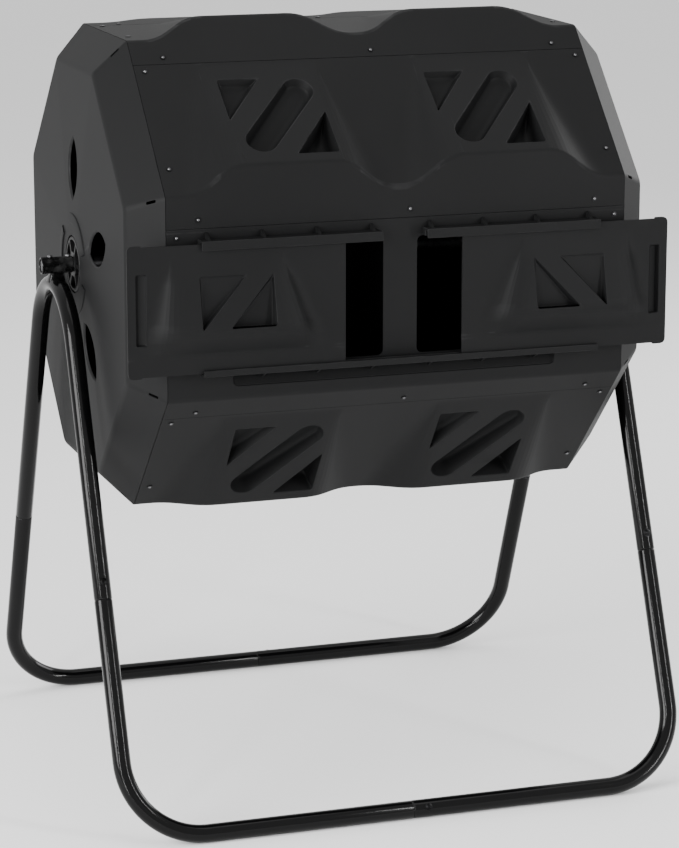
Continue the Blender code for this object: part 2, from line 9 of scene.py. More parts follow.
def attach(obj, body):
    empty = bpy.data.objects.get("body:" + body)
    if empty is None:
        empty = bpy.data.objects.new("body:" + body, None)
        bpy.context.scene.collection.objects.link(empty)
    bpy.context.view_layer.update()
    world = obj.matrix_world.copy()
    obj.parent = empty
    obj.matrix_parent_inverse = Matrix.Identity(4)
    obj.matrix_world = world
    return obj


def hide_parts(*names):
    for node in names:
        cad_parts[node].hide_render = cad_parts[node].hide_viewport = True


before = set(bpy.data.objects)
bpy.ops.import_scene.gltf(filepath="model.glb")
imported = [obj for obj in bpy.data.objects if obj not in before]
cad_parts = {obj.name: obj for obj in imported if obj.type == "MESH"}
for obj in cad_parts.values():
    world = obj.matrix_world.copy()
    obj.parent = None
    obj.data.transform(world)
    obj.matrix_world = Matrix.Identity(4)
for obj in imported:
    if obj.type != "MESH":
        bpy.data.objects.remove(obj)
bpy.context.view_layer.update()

# Stand
TUBE_R = 0.011
LEG_X = 0.3435
FOOT_Y = 0.313
AXLE_Z = 0.630
LEG_Y_AT_AXLE = 0.052
TOP_BEND_Z = 0.6065
FLOOR_BEND_R = 0.092
FOOT_Z = TUBE_R * cos(pi / 12)
TUBE_SKIN_R = FOOT_Z
JOINT_Z = 0.270
JOINT_GAP = 0.0004
LEAN = atan((FOOT_Y - LEG_Y_AT_AXLE) / (AXLE_Z - FOOT_Z))
LEG_PEAK_Z = AXLE_Z + LEG_Y_AT_AXLE / tan(LEAN)
TOP_BEND_R = (LEG_PEAK_Z - TOP_BEND_Z) / (1 / sin(LEAN) - 1)
BOLT_UP = 0.020
FLOOR_BOLT_X = 0.018
BOLT_PROUD = 0.0002
BOLT_SIZES = {"Head Radius": 0.0042, "Head Height": 0.0022, "Washer Radius": 0.0050}

# Axle
AXLE_R = 0.0075
AXLE_HALF = 0.3605
SLEEVE_R = 0.0100
SLEEVE_BORE_R = 0.0082
SLEEVE_X = (0.3235, 0.3620)
SADDLE = ((TOP_BEND_Z + 0.0040, 0.0105, 0.0090), (TOP_BEND_Z + 0.0090, 0.0090, 0.0078),
          (AXLE_Z - 0.0110, 0.0080, 0.0068), (AXLE_Z - 0.0088, 0.0084, 0.0070))

# Drum
FRONT_Y = 0.2630
FRONT_HALF = 0.1170
TOP_Z = 0.2765
TOP_HALF = FRONT_Y - TOP_Z + FRONT_HALF
PANEL_X = 0.2785
WALL = 0.0025
LAYER = WALL + 0.0004
FLANGE = 0.0365
FLANGE_GAP = 0.0004
LAP_START = 0.0140
WEDGE_START = 0.0425
PLATEAU_RISE = 0.0235
PLATEAU_IN_X = 0.0620
PLATEAU_OUT_X = 0.2000
PLATEAU_RUN = 0.0440
PLATEAU_TIP = 0.0060
SEAM_SCREWS = [(x, 0.0265) for x in (-0.2410, 0.0120, 0.2410)]
END_SCREW_X = 0.2665
END_SCREW_U = (0.0460, 0.0400)
SCREW_PROUD = 0.0004
# The washer radius sets the dark ring of painted shade round each screw head.
SCREW_SIZES = {"Head Radius": 0.0018, "Head Height": 0.0012, "Washer Radius": 0.0032}

# Pockets in each wedge: (X from its middle, distance down its slope)
PATTERN_X = 0.1265
PATTERN_LONG = 0.1613
TRI_UPPER = ((-0.0590, 0.0230), (-0.0100, 0.0230), (-0.0590, 0.0880))
TRI_LOWER = ((0.0575, 0.0800), (0.0575, 0.1460), (0.0080, 0.1460))
SLOT_ENDS = ((0.0335, 0.0440), (-0.0300, 0.1230))
SLOT_R = 0.0180
POCKET_TOP_DEPTH = 0.0060
POCKET_SLOPE = 0.155
POCKET_PROUD = 0.0022
BOWL_REACH = 0.030

# Caps and hubs
CAP_X = 0.2789
CAP_LIP = 0.0160
LIP_IN = 2 * LAYER + 0.0002
FACE_X = 0.3170
BEVEL_IN = 0.0385
HUB_X = 0.3225
HUB_SKIRT_R = 0.0460
HUB_HOLE_R = 0.0348
VENT_R = 0.1160
VENT_LONG = 0.0740
VENT_WIDE = 0.0400
VENTS = 3
VENT_STEP = radians(72)
VENT_RINGS = ((0.0050, 0.0022), (0.0022, 0.0002), (0.0008, -0.0006), (0.0, -0.0018), (-0.0006, -0.0090))
RIDGE_SLOT_LONG = 0.0130
RIDGE_SLOT_WIDE = 0.0034
RIDGE_SLOT_DOWN = 0.0200
COLLAR_ARCS = ((20, 100), (140, 220), (260, 340))
COLLAR_PROFILE = ((0.0490, -0.0015), (0.0496, 0.0012), (0.0506, 0.0018),
                  (0.0604, 0.0015), (0.0614, 0.0009), (0.0622, -0.0016))
COLLAR_FALL = 0.030
BUSH_R = 0.0330
BUSH_FLANGE_R = 0.0400
BUSH_FLANGE = 0.0025
BUSH_BORE_R = 0.0088
BUSH_BOSS_R = 0.0150
BUSH_RIM_R = 0.0295
BUSH_SPOKES = 6
BUSH_SPOKE = 0.0040
BUSH_DEEP = 0.0180
BUSH_POCKET = 0.0140

# Door openings, rails and doors; heights are from the axle
STRIP_HALF = 0.0205
OPENING_OUT_X = 0.2250
OPENING_Z = (-0.0790, 0.0590)
OPENING_CORNER = 0.0080
HOLLOW_X = (-0.2010, 0.1930)
HOLLOW_DOWN = (0.0845, 0.1030)
RAIL_ROOT_Y = FRONT_Y - 0.0010
RAIL_OUT_Y = 0.2815
RAIL_LIP = 0.0025
GUIDE_Y = 0.2725
TOP_RAIL_Z = (0.0660, 0.0690)
TOP_LIP_Z = 0.0580
TOP_GUIDE_Z = 0.0595
TOP_RAIL_X = (0.0270, 0.2420)
LOW_RAIL_Z = (-0.0840, -0.0870)
LOW_LIP_Z = -0.0795
LOW_RAIL_X = 0.2410
GUSSET_SUNK = 0.0010
GUSSET_STEP = 0.0655
GUSSET_FIRST_X = 0.0355
GUSSET_SIZES = {"Thickness": 0.0030, "Reach": RAIL_OUT_Y - 0.0030 - RAIL_ROOT_Y, "Height": 0.0120 * 0.7}
DOOR_WALL = 0.0025
DOOR_Y = 0.2775
DOOR_LONG = 0.2575
DOOR_Z = (-0.0832, 0.0652)
DOOR_SHUT_X = 0.0210
DOOR_OPEN = 0.0500
DOOR_START = DOOR_SHUT_X + DOOR_OPEN
DOOR_TAB = 0.0165
DOOR_TAB_OVER = 0.0016
DOOR_CORNER = 0.0070
BULGE_RISE = 0.0200
BULGE_TOP_Z = 0.0470
BULGE_PEAK_Z = -0.0340
BULGE_LOW_Z = -0.0610
BULGE_NEAR = (0.0770, 0.0540)
BULGE_FAR = (0.2050, 0.2100)
BULGE_RUN = 0.0250
BULGE_PEAK_WIDEN = 0.85

# Pockets in the doors: (distance in from the outer edge, distance down)
DOOR_TRIANGLES = (((0.0830, 0.0190), (0.1380, 0.0190), (0.0830, 0.0800)),
                  ((0.1700, 0.0190), (0.1700, 0.0790), (0.1160, 0.0790)))
DOOR_GROOVE = ((0.0100, -0.0340), (0.0220, -0.0340), (0.0220, 0.0470), (0.0100, 0.0470))

SIDES = {"left": -1, "right": 1}
ENDS = {"front": -1, "rear": 1}
EASE_STEPS = 5
MERGE = 1e-6

# Rubbed edges, paled partly as wear and partly as a painted highlight: the widest face that counts, the bend
# where the paling starts and the bend to full paling
SLIM_WIDTH = 0.0014
WEAR_AND_HIGHLIGHT_START = 0.18
WEAR_AND_HIGHLIGHT_RUN = 0.4

CAMERA_PLACE = (-1.2083, -3.6461, 1.3084)
CAMERA_TILT = radians(13.176)
CAMERA_TURN = radians(18.54)
LENS_MM = 134.47
SENSOR_MM = 36
FLOOR_HALF = 30


# ---------------- finishes

class Line:
    """A shader socket that takes part in arithmetic; each sum adds a Math node."""

    def __init__(self, finish, socket):
        self.finish, self.socket = finish, socket

    def sum(self, operation, first, second):
        return self.finish.node("ShaderNodeMath", {"operation": operation}, {0: first, 1: second})

    def __add__(self, other):
        return self.sum("ADD", self, other)

    def __sub__(self, other):
        return self.sum("SUBTRACT", self, other)

    def __rsub__(self, other):
        return self.sum("SUBTRACT", other, self)

    def __mul__(self, other):
        return self.sum("MULTIPLY", self, other)

    __radd__, __rmul__ = __add__, __mul__

    def clamped(self):
        return self.finish.node("ShaderNodeClamp", {}, {"Value": self})


class Finish:
    """One material under construction."""

    def __init__(self, name):
        self.material = bpy.data.materials.new(name)
        self.material.use_nodes = True
        self.tree = self.material.node_tree
        self.shader = self.tree.nodes["Principled BSDF"]
        self.place = self.node("ShaderNodeTexCoord", {}, {}, "Object")

    def feed(self, socket, value):
        if isinstance(value, Line):
            self.tree.links.new(value.socket, socket)
        elif isinstance(value, tuple) and len(value) == 3 and socket.type == "RGBA":
            socket.default_value = (*value, 1.0)
        else:
            socket.default_value = value

    def node(self, kind, settings, inputs, output=0):
        made = self.tree.nodes.new(kind)
        for key, value in settings.items():
            setattr(made, key, value)
        for key, value in inputs.items():
            self.feed(made.inputs[key], value)
        return Line(self, made.outputs[output])

    def noise(self, scale, detail=3.0, roughness=0.5, stretch=None):
        place = self.place
        if stretch:
            place = self.node("ShaderNodeMapping", {}, {"Vector": place, "Scale": stretch})
        inputs = {"Vector": place, "Scale": scale, "Detail": detail, "Roughness": roughness}
        return self.node("ShaderNodeTexNoise", {}, inputs, "Fac")

    def band(self, value, low, high):
        """0 below low, 1 above high, smooth between."""
        settings = {"interpolation_type": "SMOOTHSTEP"}
        return self.node("ShaderNodeMapRange", settings, {"Value": value, "From Min": low, "From Max": high})

    def blend(self, amount, first, second):
        """A colour that goes from the first to the second."""
        inputs = {0: amount, 6: first, 7: second}
        return self.node("ShaderNodeMix", {"data_type": "RGBA"}, inputs, 2)

    # The edge mask: partly wear, partly a painted highlight on tight convex edges.
    def wear(self):
        return self.node("ShaderNodeAttribute", {"attribute_name": "wear"}, {}, "Fac")

    def bump(self, height, depth, strength=1.0):
        inputs = {"Height": height, "Distance": depth, "Strength": strength}
        return self.node("ShaderNodeBump", {}, inputs)

    def finish(self, **inputs):
        for key, value in inputs.items():
            self.feed(self.shader.inputs[key.replace("_", " ")], value)
        return self.material


def moulded_plastic(name, dark, pale, roughness, scuff_and_highlight_tone, grain, shine):
    """Moulded plastic: fine leather grain, flow clouding, faint scratches and paler rubbed edges, partly wear
    and partly a painted highlight along the edges.
    """
    made = Finish(name)
    cloud = made.noise(5.0, 4.0, 0.55)
    flow = made.noise(9.0, 2.0, 0.4, (0.25, 1.0, 1.0))
    pores = made.noise(1500.0, 2.0, 0.6)
    scratch = made.band(made.noise(60.0, 3.0, 0.7, (1.0, 9.0, 3.0)), 0.62, 0.72)
    # Rubbed edges: the edge mask paled partly as wear, partly as a painted highlight on tight convex edges.
    rubbed_and_highlit = (made.wear() * made.band(made.noise(55.0, 4.0), 0.30, 0.62)).clamped()
    colour = made.blend(made.band(cloud, 0.3, 0.7), dark, pale)
    colour = made.blend(scratch * 0.03, colour, scuff_and_highlight_tone)
    colour = made.blend(rubbed_and_highlit * 0.45, colour, scuff_and_highlight_tone)
    gloss = roughness + cloud * 0.02 + flow * 0.015 + pores * 0.04 - rubbed_and_highlit * 0.08
    grained = made.bump(pores, grain, 0.55)
    made.shader.inputs["Specular IOR Level"].default_value = shine
    return made.finish(Base_Color=colour, Roughness=gloss, Normal=grained)


def powder_coat():
    """Gloss black powder coat over tube: slight orange peel, cloudy tone and worn lips, paled partly as wear
    and partly as a painted highlight.
    """
    made = Finish("gloss_black_powder_coat")
    peel = made.noise(420.0, 2.0, 0.5)
    cloud = made.noise(7.0, 3.0, 0.5)
    # Worn lips: the edge mask paled partly as wear, partly as a painted highlight.
    rubbed_and_highlit = (made.wear() * made.band(made.noise(80.0, 3.0), 0.35, 0.6)).clamped()
    colour = made.blend(cloud, (0.0012, 0.0012, 0.0013), (0.0022, 0.0022, 0.0023))
    colour = made.blend(rubbed_and_highlit * 0.4, colour, (0.04, 0.04, 0.04))
    gloss = 0.10 + cloud * 0.05 + rubbed_and_highlit * 0.15
    made.shader.inputs["Specular IOR Level"].default_value = 0.16
    return made.finish(Base_Color=colour, Roughness=gloss, Normal=made.bump(peel, 0.00012, 0.5))


def plated_steel(name, dark, pale, roughness):
    """Zinc plate or blacked steel: fine spangle and dulled patches."""
    made = Finish(name)
    spangle = made.noise(900.0, 3.0, 0.6)
    cloud = made.noise(120.0, 3.0, 0.5)
    colour = made.blend(made.band(cloud, 0.3, 0.7), dark, pale)
    gloss = roughness + spangle * 0.12
    made.shader.inputs["Metallic"].default_value = 1.0
    return made.finish(Base_Color=colour, Roughness=gloss, Normal=made.bump(spangle, 0.00003, 0.4))


# The third colour is the scuffed tone, also used as the painted highlight on rubbed edges.
PLASTIC = moulded_plastic("black_polypropylene", (0.0050, 0.0051, 0.0053), (0.0058, 0.0059, 0.0061),
                          0.52, (0.030, 0.030, 0.031), 0.00008, 0.10)
HUB_PLASTIC = moulded_plastic("hub_nylon", (0.0030, 0.0030, 0.0031), (0.0042, 0.0042, 0.0044),
                              0.42, (0.009, 0.009, 0.009), 0.00005, 0.16)
COAT = powder_coat()
ZINC = plated_steel("zinc_plate", (0.13, 0.13, 0.135), (0.20, 0.20, 0.205), 0.34)
BLACKED = plated_steel("blacked_steel", (0.008, 0.008, 0.008), (0.018, 0.018, 0.019), 0.34)


# ---------------- shaping

def eased(line, reaches, closed=False, steps=EASE_STEPS):
    """A line of points whose corners become curves that start a reach away; no reach keeps a corner."""
    out, last = [], len(line) - 1
    for k, corner in enumerate(line):
        reach = reaches[k] if isinstance(reaches, (list, tuple)) else reaches
        if not reach or (not closed and k in (0, last)):
            out.append(corner)
            continue
        before, after = line[k - 1] - corner, line[(k + 1) % len(line)] - corner
        start = corner + before * min(0.45, reach / max(before.length, 1e-9))
        end = corner + after * min(0.45, reach / max(after.length, 1e-9))
        for n in range(steps + 1):
            t = n / steps
            out.append(start * (1 - t) ** 2 + corner * (2 * t * (1 - t)) + end * t * t)
    return out


def eased_grid(rows, row_reaches, column_reaches):
    """A grid of points eased along its rows, then down its columns."""
    rows = [eased(row, column_reaches) for row in rows] if column_reaches else rows
    columns = [eased(list(column), row_reaches) for column in zip(*rows)]
    return [list(row) for row in zip(*columns)]


def loft(rings, closed=False):
    """Joins rings of equally many points; the ends are capped, or joined to each other when closed."""
    count = len(rings[0])
    points = [point for ring in rings for point in ring]
    pairs = list(zip(range(len(rings)), range(1, len(rings))))
    faces = []
    if closed:
        pairs.append((len(rings) - 1, 0))
    else:
        faces = [tuple(range(count)), tuple(range(len(points) - count, len(points)))]
    for a, b in pairs:
        for k in range(count):
            after = (k + 1) % count
            faces.append((a * count + k, a * count + after, b * count + after, b * count + k))
    return points, faces


def islands(shapes):
    """Several (points, faces) shapes as one."""
    points, faces = [], []
    for shape_points, shape_faces in shapes:
        start = len(points)
        points += shape_points
        faces += [tuple(start + k for k in face) for face in shape_faces]
    return points, faces


def prism(outline, direction):
    """An outline pushed along a direction."""
    push = Vector(direction)
    return loft([[Vector(p) for p in outline], [Vector(p) + push for p in outline]])


def rectangle(x_low, x_high, y_low, y_high):
    return [Vector(corner) for corner in ((x_low, y_low), (x_high, y_low), (x_high, y_high), (x_low, y_high))]


def circle(centre, axis, radius, sides):
    axis = Vector(axis).normalized()
    across = axis.cross(Vector((1, 0, 0)) if abs(axis.x) < 0.9 else Vector((0, 1, 0))).normalized()
    up = axis.cross(across)
    turns = [2 * pi * k / sides for k in range(sides)]
    return [Vector(centre) + (across * cos(a) + up * sin(a)) * radius for a in turns]


def turned(start, axis, profile, sides, closed=False):
    """A shape turned about an axis from (distance along it, radius) pairs."""
    axis = Vector(axis).normalized()
    rings = [circle(Vector(start) + axis * along, axis, radius, sides) for along, radius in profile]
    return loft(rings, closed)


def linked(name, data):
    thing = bpy.data.objects.new(name, data)
    bpy.context.scene.collection.objects.link(thing)
    return thing


def new_object(name, shape, finishes, removed=()):
    """A mesh object with faces outwards; the removed faces carry the second finish."""
    mesh = bpy.data.meshes.new(name)
    mesh.from_pydata([tuple(point) for point in shape[0]], [], shape[1])
    for finish in finishes:
        mesh.materials.append(finish)
    for index in removed:
        mesh.polygons[index].material_index = 1
    work = bmesh.new()
    work.from_mesh(mesh)
    bmesh.ops.remove_doubles(work, verts=work.verts, dist=MERGE)
    bmesh.ops.dissolve_degenerate(work, edges=work.edges, dist=1e-7)
    bmesh.ops.recalc_face_normals(work, faces=work.faces)
    work.to_mesh(mesh)
    work.free()
    return linked(name, mesh)


def baked(piece):
    """Makes the piece's modifiers part of its mesh."""
    bpy.context.view_layer.update()
    mesh = bpy.data.meshes.new_from_object(piece.evaluated_get(bpy.context.evaluated_depsgraph_get()))
    piece.modifiers.clear()
    piece.data = mesh
    return piece


def carved(piece, shape, operation="DIFFERENCE", removed=()):
    """Cuts a shape out of the piece, joins it, or keeps only what lies inside it."""
    tool = new_object(piece.name + "_tool", shape, list(piece.data.materials), removed)
    modifier = piece.modifiers.new("carve", "BOOLEAN")
    modifier.object, modifier.operation, modifier.solver = tool, operation, "EXACT"
    baked(piece)
    bpy.data.objects.remove(tool, do_unlink=True)
    return piece


def open_skin(piece):
    """Keeps only the faces that belong to the visible skin."""
    work = bmesh.new()
    work.from_mesh(piece.data)
    spare = [face for face in work.faces if face.material_index == 1]
    bmesh.ops.delete(work, geom=spare, context="FACES")
    bmesh.ops.remove_doubles(work, verts=work.verts, dist=MERGE)
    work.to_mesh(piece.data)
    work.free()
    while len(piece.data.materials) > 1:
        piece.data.materials.pop()
    return piece


def walled(piece, wall, edge=0.0006):
    """Gives a skin its thickness inwards, with softly broken rims."""
    solid = piece.modifiers.new("wall", "SOLIDIFY")
    solid.thickness, solid.offset = wall, -1
    solid.bevel_convex = 1.0
    soft = piece.modifiers.new("rims", "BEVEL")
    soft.limit_method, soft.width, soft.segments = "WEIGHT", edge, 2
    soft.use_clamp_overlap = True
    return baked(piece)


def broken_edges(piece, width, angle=50):
    """Rounds the edges that bend by more than an angle."""
    soft = piece.modifiers.new("edges", "BEVEL")
    soft.limit_method, soft.angle_limit = "ANGLE", radians(angle)
    soft.width, soft.segments = width, 2
    return baked(piece)


def rubbed_and_highlit_edges(mesh):
    """Writes how much each point stands on a tight convex edge, for the finish to pale as wear and as a
    painted highlight.
    """
    work = bmesh.new()
    work.from_mesh(mesh)
    wear = []
    for vertex in work.verts:
        bends = [e.calc_face_angle_signed(0.0) for e in vertex.link_edges if len(e.link_faces) == 2]
        slim = all(2 * f.calc_area() < SLIM_WIDTH * f.calc_perimeter() for f in vertex.link_faces)
        rubbed_and_highlit = (max(bends, default=0.0) - WEAR_AND_HIGHLIGHT_START) / WEAR_AND_HIGHLIGHT_RUN
        wear.append(max(0.0, min(1.0, rubbed_and_highlit)) if slim else 0.0)
    work.free()
    # The stored mask pales edges partly as wear, partly as a painted highlight.
    store = mesh.attributes.new("wear", "FLOAT", "POINT")
    store.data.foreach_set("value", wear)


def finished(piece, body, nodes=(), sharp=38, weighted=True):
    """Shades the piece, marks its rubbed edges for paling as wear and as a painted highlight, and hands it
    over to a body.
    """
    piece.data.shade_smooth()
    piece.data.set_sharp_from_angle(angle=radians(sharp))
    if weighted:
        even = piece.modifiers.new("even", "WEIGHTED_NORMAL")
        even.keep_sharp, even.mode, even.weight = True, "FACE_AREA", 60
        baked(piece)
    rubbed_and_highlit_edges(piece.data)
    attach(piece, body)
    if nodes:
        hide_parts(*nodes)
    return piece


# ---------------- drum outline

CORNERS = [Vector(corner) for corner in (
    (TOP_HALF, TOP_Z), (-TOP_HALF, TOP_Z), (-FRONT_Y, FRONT_HALF), (-FRONT_Y, -FRONT_HALF),
    (-TOP_HALF, -TOP_Z), (TOP_HALF, -TOP_Z), (FRONT_Y, -FRONT_HALF), (FRONT_Y, FRONT_HALF))]
PANELS = ["top_panel", "upper_front_panel", "door_panel", "lower_front_panel",
          "bottom_panel", "lower_rear_panel", "rear_panel", "upper_rear_panel"]


def face_axes(face):
    """A drum face's first corner, direction of travel, outward normal and width, in the (Y, Z) plane."""
    first, second = CORNERS[face % 8], CORNERS[(face + 1) % 8]
    along = (second - first).normalized()
    return first, along, Vector((along.y, -along.x)), (second - first).length


def on_face(face, x, u, level):
    first, along, normal, _ = face_axes(face)
    spot = first + along * u + normal * level
    return Vector((x, spot.x, AXLE_Z + spot.y))


def octagon(x, inset):
    """The drum's eight corners at a place along X, moved in by an inset."""
    ring = []
    for face in range(8):
        _, _, before, _ = face_axes(face - 1)
        corner, _, normal, _ = face_axes(face)
        spot = corner - (before + normal).normalized() * inset / cos(before.angle(normal) / 2)
        ring.append(Vector((x, spot.x, AXLE_Z + spot.y)))
    return ring


# ---------------- pockets

class Seat:
    """A flat place for pockets: an origin, the X direction, the direction down the face and a normal."""

    def __init__(self, origin, down):
        self.origin, self.across, self.down = origin, Vector((1, 0, 0)), down.normalized()
        self.normal = self.across.cross(self.down).normalized()
        if self.normal.dot(Vector((0, origin.y, origin.z - AXLE_Z))) < 0:
            self.normal = -self.normal

    def at(self, x, s, level):
        return self.origin + self.across * x + self.down * s + self.normal * level


def shrunk(corners, inset):
    """A convex outline with every side moved in."""
    count = len(corners)
    area = sum(corners[k - 1].x * corners[k].y - corners[k].x * corners[k - 1].y for k in range(count))
    turn = 1 if area > 0 else -1
    out = []
    for k in range(count):
        before, corner, after = corners[k - 1], corners[k], corners[(k + 1) % count]
        come, leave = (corner - before).normalized(), (after - corner).normalized()
        inward = Vector((-come.y - leave.y, come.x + leave.x)).normalized() * turn
        half = come.angle(leave) / 2
        out.append(corner + inward * inset / cos(half))
    return out


def cornered(corners, reach=0.0032):
    """A pocket's outline with curved corners, for any inset."""
    points = [Vector(corner) for corner in corners]
    return lambda inset: eased(shrunk(points, inset), reach, closed=True, steps=4)


def slotted(start, end, radius, sides=12):
    """The outline of a round-ended slot between two centres, for any inset."""
    start, end = Vector(start), Vector(end)
    heading = atan2(end.y - start.y, end.x - start.x)

    def outline(inset):
        out = []
        for centre, first in ((end, heading - pi / 2), (start, heading + pi / 2)):
            turns = [first + pi * k / sides for k in range(sides + 1)]
            out += [centre + Vector((cos(a), sin(a))) * (radius - inset) for a in turns]
        return out
    return outline


def pocket(seat, outline, depth, draft=0.0030, flare=0.0014, bowl=0.32):
    """A cutter with a rounded rim, drafted walls and a rounded floor; depth is a function of (x, s)."""
    quarter = [pi / 2 * k / 5 for k in range(6)]
    rims = [(-1.6 * flare, POCKET_PROUD)] + [(-flare * (1 - sin(a)), -flare * (1 - cos(a))) for a in quarter]
    floors = [(draft + bowl * BOWL_REACH * (1 - cos(a)), 1 - bowl * (1 - sin(a))) for a in quarter]
    rings = [[seat.at(p.x, p.y, level) for p in outline(inset)] for inset, level in rims]
    for inset, share in floors:
        rings.append([seat.at(p.x, p.y, -share * depth(p.x, p.y)) for p in outline(inset)])
    return loft(rings)


# ---------------- drum panels

def panel_columns(t):
    """(X, rise share) across a panel, where t runs from 0 at the top of its wedges to 1 at its crease."""
    run = max(PLATEAU_RUN * t, PLATEAU_TIP)
    half = [(PLATEAU_IN_X - run, 0), (PLATEAU_IN_X, t), (PLATEAU_OUT_X, t), (PLATEAU_OUT_X + run, 0),
            (PANEL_X, 0)]
    return [(-x, rise) for x, rise in reversed(half)] + half


def plain_columns(_):
    """The same for the door panel, which has no wedges."""
    return [(x, 0) for x in (-PANEL_X, -OPENING_OUT_X, -STRIP_HALF, STRIP_HALF, OPENING_OUT_X, PANEL_X)]


def panel_skin(face, columns, column_reach):
    """A panel's outer surface: joggled lap, face, raised wedges, wavy crease and flange."""
    width = face_axes(face)[3]
    starts = ((LAP_START, -LAYER), (FLANGE + 0.0001, -LAYER), (FLANGE, 0), (WEDGE_START, 0))
    rows = [[on_face(face, x, u, level) for x, _ in columns(0)] for u, level in starts]
    reaches = [None, 0.0006, 0.0007, 0.0120]
    for t in (0.12, 0.3, 0.5, 0.75):
        rows.append([on_face(face, x, WEDGE_START + (width - PLATEAU_RISE * bool(rise) - WEDGE_START) * t,
                             PLATEAU_RISE * rise) for x, rise in columns(t)])
        reaches.append(None)
    rows.append([on_face(face + 1, x, -PLATEAU_RISE * rise * sqrt(2), 0) for x, rise in columns(1)])
    rows.append([on_face(face + 1, x, FLANGE - FLANGE_GAP, 0) for x, _ in columns(1)])
    reaches += [0.0042, None]
    count = len(columns(0))
    across = [column_reach if 0 < k < count - 1 else None for k in range(count)]
    return eased_grid(rows, reaches, across if column_reach else None)


def block(skin, back):
    """A closed solid between a skin and its back; returns it with the faces that aren't the skin."""
    rows, columns = len(skin), len(skin[0])
    points = [p for row in skin for p in row] + [back(p) for row in skin for p in row]
    far = rows * columns
    faces = []
    for i in range(rows - 1):
        for j in range(columns - 1):
            a = i * columns + j
            faces.append((a, a + 1, a + 1 + columns, a + columns))
    shown = len(faces)
    faces += [tuple(far + k for k in reversed(face)) for face in faces]
    rim = list(range(columns)) + [i * columns + columns - 1 for i in range(1, rows)]
    rim += [(rows - 1) * columns + j for j in range(columns - 2, -1, -1)]
    rim += [i * columns for i in range(rows - 2, 0, -1)]
    for a, b in zip(rim, rim[1:] + rim[:1]):
        faces.append((a, far + a, far + b, b))
    return (points, faces), range(shown, len(faces))


def toward_axle(point):
    """A panel's spare back, well inside the drum."""
    return Vector((point.x, point.y * 0.84, AXLE_Z + (point.z - AXLE_Z) * 0.84))


def panel_pockets(face):
    """The slot and two triangles sunk in each of a panel's wedges."""
    width = face_axes(face)[3]
    top, foot = on_face(face, 0, WEDGE_START, 0), on_face(face, 0, width - PLATEAU_RISE, PLATEAU_RISE)
    seat = Seat(top, foot - top)
    fit = (foot - top).length / PATTERN_LONG

    def deep(_, s):
        return POCKET_TOP_DEPTH + POCKET_SLOPE * s / fit

    cutters = []
    for centre in (-PATTERN_X, PATTERN_X):
        shapes = [[(centre + x, s * fit) for x, s in shape] for shape in (TRI_UPPER, TRI_LOWER, SLOT_ENDS)]
        for outline in (cornered(shapes[0]), cornered(shapes[1]), slotted(*shapes[2], SLOT_R)):
            cutters.append(pocket(seat, outline, deep))
    return cutters


def make_panel(face, name):
    skin, spare = block(panel_skin(face, panel_columns, 0.0170), toward_axle)
    panel = new_object(name + "_shell", skin, [PLASTIC, PLASTIC], spare)
    carved(panel, islands(panel_pockets(face)))
    walled(open_skin(panel), WALL)
    return finished(panel, "drum", [name])


def rail(x_low, x_high, shelf, lip, guide):
    """A channel along X on the front face, open towards the door."""
    lip_y = RAIL_OUT_Y - RAIL_LIP
    outline = [(RAIL_ROOT_Y, guide), (GUIDE_Y, guide), (GUIDE_Y, shelf[0]), (lip_y, shelf[0]),
               (lip_y, lip), (RAIL_OUT_Y, lip), (RAIL_OUT_Y, shelf[1]), (RAIL_ROOT_Y, shelf[1])]
    return prism([(x_low, -y, AXLE_Z + z) for y, z in outline], (x_high - x_low, 0, 0))


def make_door_panel(face, name):
    """The front panel: flat, with two openings and a long hollow under the lower rail."""
    skin, spare = block(panel_skin(face, plain_columns, None), toward_axle)
    panel = new_object(name + "_shell", skin, [PLASTIC, PLASTIC], spare)
    openings = []
    for side in SIDES.values():
        low, high = sorted((side * STRIP_HALF, side * OPENING_OUT_X))
        corners = rectangle(low, high, AXLE_Z + OPENING_Z[0], AXLE_Z + OPENING_Z[1])
        outline = eased(corners, OPENING_CORNER, closed=True, steps=6)
        openings.append(prism([(p.x, -FRONT_Y - 0.01, p.y) for p in outline], (0, 0.08, 0)))
    tools = islands(openings)
    carved(panel, tools, removed=range(len(tools[1])))
    plate = Seat(Vector((0, -FRONT_Y, AXLE_Z)), Vector((0, 0, -1)))
    hollow = cornered(rectangle(*HOLLOW_X, *HOLLOW_DOWN), 0.0070)

    def deep(_, s):
        return 0.0012 + 0.40 * max(0.0, 0.1040 - s)

    carved(panel, pocket(plate, hollow, deep, draft=0.0008, bowl=0.20))
    walled(open_skin(panel), WALL)
    return finished(panel, "drum", [name])


def make_rails():
    near, far = TOP_RAIL_X
    rails = [rail(-LOW_RAIL_X, LOW_RAIL_X, LOW_RAIL_Z, LOW_LIP_Z, LOW_LIP_Z)]
    for start, end in ((-far, -near), (near, far)):
        rails.append(rail(start, end, TOP_RAIL_Z, TOP_LIP_Z, TOP_GUIDE_Z))
    piece = new_object("door_rails", islands(rails), [PLASTIC])
    broken_edges(piece, 0.0007)
    return finished(piece, "drum")


# ---------------- things that repeat

